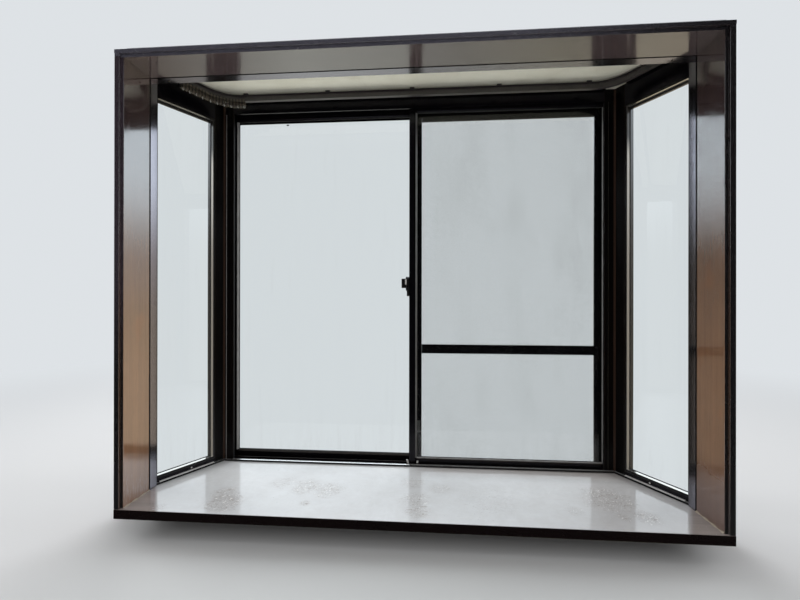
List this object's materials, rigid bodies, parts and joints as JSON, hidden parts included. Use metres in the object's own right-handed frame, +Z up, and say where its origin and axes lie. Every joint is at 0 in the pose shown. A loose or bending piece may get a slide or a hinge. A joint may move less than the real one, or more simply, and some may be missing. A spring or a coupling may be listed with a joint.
{
  "type": "bay window",
  "caption": "Trapezoid bay window: sliding centre window with insect screen, fixed slanted side lights, wooden casing and counter, ceiling board, curtain rail, roof and base.",
  "frame": {"origin": "middle of the bottom nailing flange, on the face that lies against the wall", "axes": "+X along the wall, to the right as seen from the room; +Y outdoors; +Z up"},
  "size_m": [1.8556, 0.4659, 1.504],
  "materials": {
    "bronze_aluminium": "satin dark bronze, near black",
    "window_glass": "clear float glass, polished",
    "casing_wood": "glossy dark brown woodgrain laminate",
    "counter_wood": "glossy brown laminate, worn",
    "ceiling_panel": "cream laminate board, satin",
    "rail_brown": "dark brown enamel",
    "runner_plastic": "brown moulded plastic",
    "screen_net": "grey woven net",
    "sheet_bronze": "painted steel sheet, satin dark bronze",
    "bare_timber": "bare board",
    "lock_metal": "dark bronze, satin"
  },
  "bodies": {
    "root": {"wall_head": "bronze_aluminium", "wall_sill": "bronze_aluminium", "wall_jamb_left": "bronze_aluminium", "wall_jamb_right": "bronze_aluminium", "corner_post_left": "bronze_aluminium", "corner_post_right": "bronze_aluminium", "head_track": "bronze_aluminium", "sill_track": "bronze_aluminium", "side_head_left": "bronze_aluminium", "side_head_right": "bronze_aluminium", "side_sill_left": "bronze_aluminium", "side_sill_right": "bronze_aluminium", "side_glass_left": "window_glass", "side_glass_right": "window_glass", "side_beads_left": "bronze_aluminium", "side_beads_right": "bronze_aluminium", "left_sash_top_rail": "bronze_aluminium", "left_sash_bottom_rail": "bronze_aluminium", "left_sash_meeting_stile": "bronze_aluminium", "left_sash_outer_stile": "bronze_aluminium", "left_sash_glass": "window_glass", "right_sash_top_rail": "bronze_aluminium", "right_sash_bottom_rail": "bronze_aluminium", "right_sash_meeting_stile": "bronze_aluminium", "right_sash_outer_stile": "bronze_aluminium", "right_sash_glass": "window_glass", "screen_stiles": "bronze_aluminium", "screen_rails": "bronze_aluminium", "screen_mesh": "screen_net", "counter_board": "counter_wood", "counter_trim": "bronze_aluminium", "jamb_board_left": "casing_wood", "jamb_board_right": "casing_wood", "head_board": "casing_wood", "ceiling_board": "ceiling_panel", "curtain_rail": "rail_brown", "rail_clips": "rail_brown", "curtain_runners": "runner_plastic", "roof_cap": "sheet_bronze", "roof_core": "bare_timber", "roof_flashing": "sheet_bronze", "base_panel": "bare_timber", "base_cover": "sheet_bronze", "crescent_body": "lock_metal", "crescent_lever": "lock_metal", "crescent_catch": "lock_metal"}
  },
  "joints": []
}
